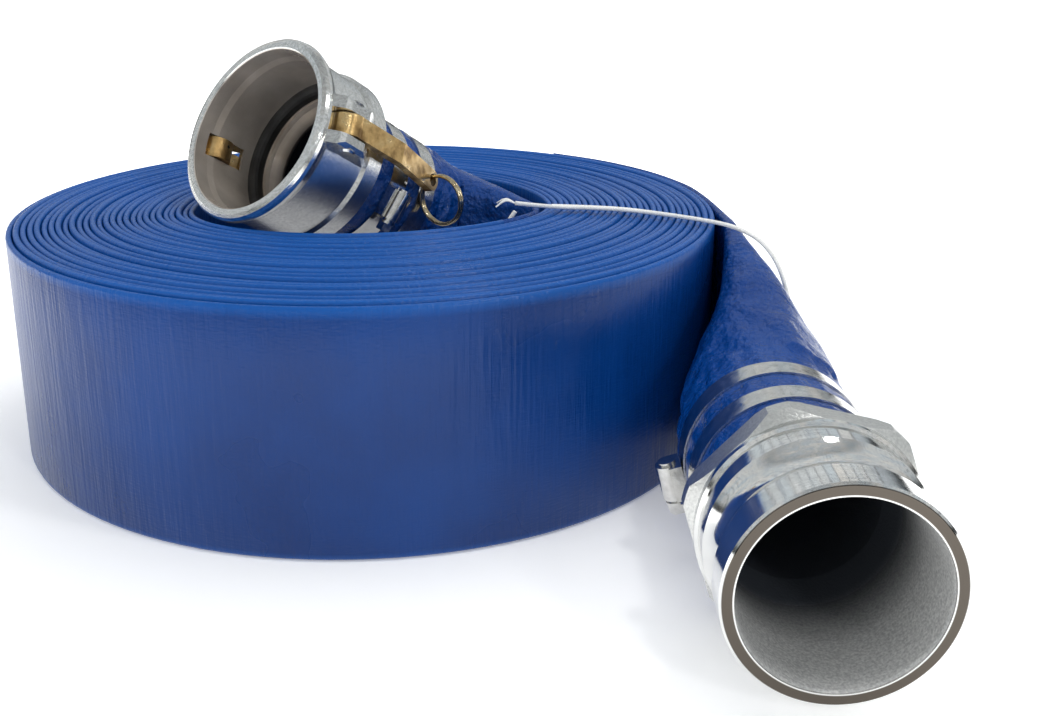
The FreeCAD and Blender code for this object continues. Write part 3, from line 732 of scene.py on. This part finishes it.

# ---------------------------------------------------------------- lever coupler
# A cast body with a rolled lip, brushed brown-grey inside and smoother at the lip, with painted shade
# turning the shank's bore near black; a black rubber ring gasket sits in the groove at the bottom of the
# socket.
SOCKET_R = 0.0474
LIP_DEPTH = 0.0095
SHANK_FROM = 0.052                       # depth where the shank's bore begins
coupler_steel, tree, shader = start_material("coupler steel", 0.3, 1.0)
place = object_place(tree)
depth, radius, rings_seen = zones(tree, place, coupler_mouth, coupler_axis)
cloudy = noise_field(tree, place, 35, 4)
grain = noise_field(tree, place, 700, 3)
socket_part = between(tree, radius, -1.0, SOCKET_R, 0.0003)
lip_part = between(tree, depth, -0.01, LIP_DEPTH, 0.0008)
satin = colour_ramp(tree, grain, [(0.3, (0.64, 0.64, 0.62)), (0.7, (0.84, 0.84, 0.81))])
brushed = colour_ramp(tree, cloudy, [(0.3, (0.42, 0.37, 0.32)), (0.7, (0.68, 0.62, 0.55))])
deep = between(tree, depth, SHANK_FROM, 0.3, 0.006)
colour = blend_colours(tree, socket_part, satin, brushed)
# painted shade: deep in the socket, where the shank's bore begins, the colour goes near black
painted_shank_shade = calculate(tree, "MULTIPLY", deep, socket_part)
colour = blend_colours(tree, painted_shank_shade, colour, (0.02, 0.022, 0.03))
tree.links.new(colour, shader.inputs["Base Color"])
tree.links.new(calculate(tree, "MULTIPLY_ADD", socket_part, -0.45, 1.0), shader.inputs["Metallic"])
rough = calculate(tree, "MULTIPLY_ADD", lip_part, -0.1, 0.2)
rough = calculate(tree, "MULTIPLY_ADD", rings_seen, 0.10, rough)
tree.links.new(rough, shader.inputs["Roughness"])
relief = calculate(tree, "MULTIPLY_ADD", grain, 0.8, rings_seen)
raise_surface(tree, shader, relief, 0.0001, 0.5)
paint("coupler_body", coupler_steel)

black_rubber, tree, shader = start_material("black gasket rubber", 0.55)
bloom = noise_field(tree, object_place(tree), 120, 4)
tree.links.new(colour_ramp(tree, bloom, [(0.3, (0.008, 0.008, 0.008)), (0.75, (0.03, 0.03, 0.03))]),
               shader.inputs["Base Color"])
raise_surface(tree, shader, bloom, 0.0002, 0.4)
paint("coupler_gasket", black_rubber)

# ---------------------------------------------------------------- cam levers, pins and pull rings
# Cast brass levers, tumbled smooth and darkened in their hollows, on steel pins. Each has a
# split ring of spring wire in its eye.
aged_brass, tree, shader = start_material("aged cast brass", 0.32, 1.0)
place = object_place(tree)
tarnish = noise_field(tree, place, 95, 6)
pits = noise_field(tree, place, 600, 3)
tree.links.new(colour_ramp(tree, tarnish, [(0.32, (0.22, 0.13, 0.05)), (0.5, (0.62, 0.41, 0.17)),
                                           (0.7, (0.84, 0.64, 0.33))]), shader.inputs["Base Color"])
tree.links.new(grey_ramp(tree, tarnish, [(0.3, 0.5), (0.7, 0.22)]), shader.inputs["Roughness"])
raise_surface(tree, shader, calculate(tree, "MULTIPLY_ADD", tarnish, 2.0, pits), 0.0005, 0.5)

wire_metal, tree, shader = start_material("ring wire", 0.18, 1.0)
worn = noise_field(tree, object_place(tree), 220, 4)
tree.links.new(colour_ramp(tree, worn, [(0.3, (0.38, 0.30, 0.18)), (0.65, (0.72, 0.62, 0.42))]),
               shader.inputs["Base Color"])
raise_surface(tree, shader, worn, 0.0001, 0.4)

pin_steel, tree, shader = start_material("pin steel", 0.22, 1.0)
scratches = noise_field(tree, object_place(tree), 500, 3)
tree.links.new(colour_ramp(tree, scratches, [(0.3, (0.5, 0.5, 0.49)), (0.7, (0.68, 0.68, 0.67))]),
               shader.inputs["Base Color"])
raise_surface(tree, shader, scratches, 0.00008, 0.4)

for side in ("front", "back"):
    for part, metal in (("cam_lever", aged_brass), ("pull_ring", wire_metal), ("pivot_pin", pin_steel)):
        paint(f"{side}_{part}", metal)

# ---------------------------------------------------------------- worm-drive clamps
# Bright stainless strip round the hose, a pressed housing over it, and a worm with a slotted
# hexagon head. Two hold each end of the hose.
strip_steel, tree, shader = start_material("clamp strip", 0.14, 1.0)
place = object_place(tree)
rolling = noise_field(tree, place, 240, 4)
tree.links.new(colour_ramp(tree, rolling, [(0.3, (0.60, 0.59, 0.56)), (0.7, (0.78, 0.77, 0.74))]),
               shader.inputs["Base Color"])
tree.links.new(grey_ramp(tree, rolling, [(0.3, 0.1), (0.7, 0.24)]), shader.inputs["Roughness"])
raise_surface(tree, shader, rolling, 0.0002, 0.4)
for label in ("adapter_front", "adapter_rear", "coupler_front", "coupler_rear"):
    for part in ("band", "housing", "screw"):
        paint(f"{label}_clamp_{part}", strip_steel)

# ---------------------------------------------------------------- picture
# Plain colour handling, so that the blue and the white stay as they are.
bpy.context.scene.view_settings.view_transform = "Standard"
